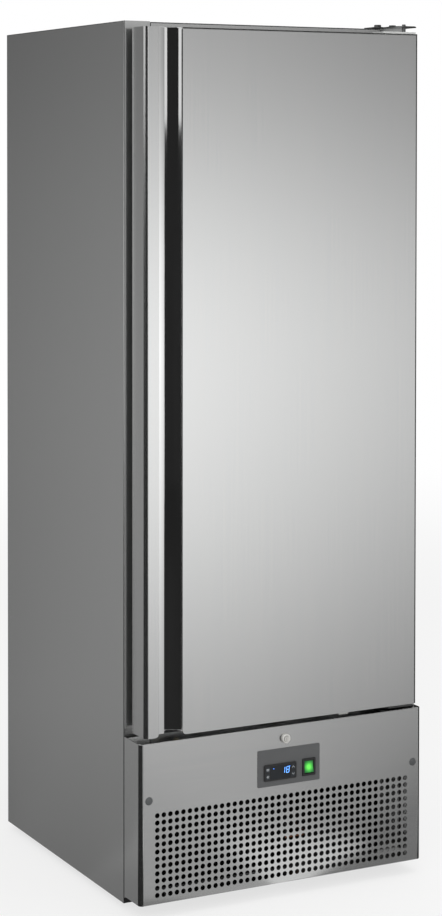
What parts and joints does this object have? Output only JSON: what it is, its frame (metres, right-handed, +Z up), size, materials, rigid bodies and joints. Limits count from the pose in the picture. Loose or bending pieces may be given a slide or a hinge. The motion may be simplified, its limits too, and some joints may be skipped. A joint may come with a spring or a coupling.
{
  "type": "upright freezer",
  "caption": "Upright stainless freezer with a solid hinged door, full-height finger channel and perforated base panel with a controller, a lit switch and a lock.",
  "frame": {"origin": "middle of the whole freezer's footprint (bounding box in plan), on the floor", "axes": "X to the right seen from the front, Y to the back, Z up"},
  "size_m": [0.68, 0.716, 1.8573],
  "materials": {
    "cabinet_stainless": "satin brushed stainless steel",
    "door_stainless": "fine brushed stainless steel",
    "polished_stainless": "polished stainless steel",
    "galvanised": "galvanised sheet",
    "zinc_hardware": "bright zinc plate",
    "coil_aluminium": "mill finish aluminium",
    "foam": "rigid polyurethane foam",
    "white_plastic": "white moulded liner plastic",
    "grey_plastic": "grey moulded plastic",
    "gasket_rubber": "soft grey magnetic gasket",
    "black_rubber": "black rubber",
    "black_plastic": "black moulded plastic",
    "display_plastic": "dark tinted display front",
    "green_plastic": "lit green rocker",
    "coated_wire": "white coated wire",
    "black_paint": "black enamel",
    "copper_tube": "drawn copper tube",
    "lock_chrome": "nickel plated"
  },
  "bodies": {
    "cabinet": {"side_panel_left": "cabinet_stainless", "side_panel_right": "cabinet_stainless", "top_panel": "cabinet_stainless", "floor_panel": "galvanised", "back_panel": "galvanised", "cabinet_insulation": "foam", "inner_liner": "cabinet_stainless", "breaker_strips": "white_plastic", "base_tray": "galvanised", "base_front_panel": "door_stainless", "screw_caps": "grey_plastic", "control_plate": "door_stainless", "controller_case": "black_plastic", "controller_facia": "display_plastic", "switch_bezel": "black_plastic", "lock_barrel": "lock_chrome", "top_hinge_bracket": "zinc_hardware", "bottom_hinge_bracket": "zinc_hardware", "hinge_pins": "zinc_hardware", "hinge_bolts": "zinc_hardware", "shelf_pilasters": "cabinet_stainless", "shelf_clips": "zinc_hardware", "evaporator": "coil_aluminium", "evaporator_cover": "white_plastic", "evaporator_fan_motor": "black_paint", "condenser": "coil_aluminium", "condenser_shroud": "galvanised", "condenser_fan_motor": "black_paint", "compressor": "black_paint", "compressor_mounts": "black_rubber", "refrigerant_tubes": "copper_tube", "drip_tray": "white_plastic", "electrical_box": "grey_plastic", "rear_grille": "galvanised", "mains_gland": "black_plastic"},
    "door": {"door_skin": "door_stainless", "door_foam": "foam", "door_liner": "cabinet_stainless", "door_gasket": "gasket_rubber", "handle_lip": "door_stainless", "handle_channel": "polished_stainless", "handle_end_caps": "polished_stainless", "door_hinge_plates": "zinc_hardware", "hinge_bushes": "grey_plastic", "door_tab": "zinc_hardware"},
    "lock_core": {"lock_core": "lock_chrome"},
    "switch_rocker": {"switch_rocker": "green_plastic"},
    "key_left_upper": {"key_left_upper": "display_plastic"},
    "key_left_lower": {"key_left_lower": "display_plastic"},
    "key_right_upper": {"key_right_upper": "display_plastic"},
    "key_right_lower": {"key_right_lower": "display_plastic"},
    "shelf_1": {"shelf_1": "coated_wire"},
    "shelf_2": {"shelf_2": "coated_wire"},
    "shelf_3": {"shelf_3": "coated_wire"},
    "evaporator_fan": {"evaporator_fan": "black_plastic"},
    "condenser_fan": {"condenser_fan": "black_plastic"},
    "foot_front_left": {"foot_front_left": "black_plastic"},
    "foot_front_right": {"foot_front_right": "black_plastic"},
    "foot_rear_left": {"foot_rear_left": "black_plastic"},
    "foot_rear_right": {"foot_rear_right": "black_plastic"}
  },
  "joints": [
    {"name": "door_hinge", "type": "hinge", "parent": "cabinet", "child": "door", "pos_m": [0.31, -0.323, 0.374], "axis": [0, 0, 1], "range_deg": [0, 110], "stiffness_Nm_per_rad": 2, "springref_deg": -34.38},
    {"name": "lock_turn", "type": "hinge", "parent": "cabinet", "child": "lock_core", "pos_m": [0, -0.353, 0.337], "axis": [0, 1, 0], "range_deg": [0, 90]},
    {"name": "switch_rock", "type": "hinge", "parent": "cabinet", "child": "switch_rocker", "pos_m": [0.057, -0.352, 0.2695], "axis": [1, 0, 0], "range_deg": [0, 14]},
    {"name": "key_left_upper_press", "type": "slide", "parent": "cabinet", "child": "key_left_upper", "axis": [0, 1, 0], "range_m": [0, 0.0006], "stiffness_N_per_m": 400, "springref_m": -0.0005},
    {"name": "key_left_lower_press", "type": "slide", "parent": "cabinet", "child": "key_left_lower", "axis": [0, 1, 0], "range_m": [0, 0.0006], "stiffness_N_per_m": 400, "springref_m": -0.0005},
    {"name": "key_right_upper_press", "type": "slide", "parent": "cabinet", "child": "key_right_upper", "axis": [0, 1, 0], "range_m": [0, 0.0006], "stiffness_N_per_m": 400, "springref_m": -0.0005},
    {"name": "key_right_lower_press", "type": "slide", "parent": "cabinet", "child": "key_right_lower", "axis": [0, 1, 0], "range_m": [0, 0.0006], "stiffness_N_per_m": 400, "springref_m": -0.0005},
    {"name": "shelf_1_slide", "type": "slide", "parent": "cabinet", "child": "shelf_1", "axis": [0, -1, 0], "range_m": [0, 0.02]},
    {"name": "shelf_2_slide", "type": "slide", "parent": "cabinet", "child": "shelf_2", "axis": [0, -1, 0], "range_m": [0, 0.02]},
    {"name": "shelf_3_slide", "type": "slide", "parent": "cabinet", "child": "shelf_3", "axis": [0, -1, 0], "range_m": [0, 0.02]},
    {"name": "evaporator_fan_spin", "type": "hinge", "parent": "cabinet", "child": "evaporator_fan", "pos_m": [0, -0.187, 1.6975], "axis": [0, 1, 0], "continuous": true},
    {"name": "condenser_fan_spin", "type": "hinge", "parent": "cabinet", "child": "condenser_fan", "pos_m": [-0.095, -0.169, 0.142], "axis": [0, 1, 0], "continuous": true},
    {"name": "foot_front_left_screw", "type": "hinge", "parent": "cabinet", "child": "foot_front_left", "pos_m": [-0.285, -0.222, 0], "axis": [0, 0, 1], "continuous": true},
    {"name": "foot_front_right_screw", "type": "hinge", "parent": "cabinet", "child": "foot_front_right", "pos_m": [0.285, -0.222, 0], "axis": [0, 0, 1], "continuous": true},
    {"name": "foot_rear_left_screw", "type": "hinge", "parent": "cabinet", "child": "foot_rear_left", "pos_m": [-0.285, 0.303, 0], "axis": [0, 0, 1], "continuous": true},
    {"name": "foot_rear_right_screw", "type": "hinge", "parent": "cabinet", "child": "foot_rear_right", "pos_m": [0.285, 0.303, 0], "axis": [0, 0, 1], "continuous": true}
  ]
}
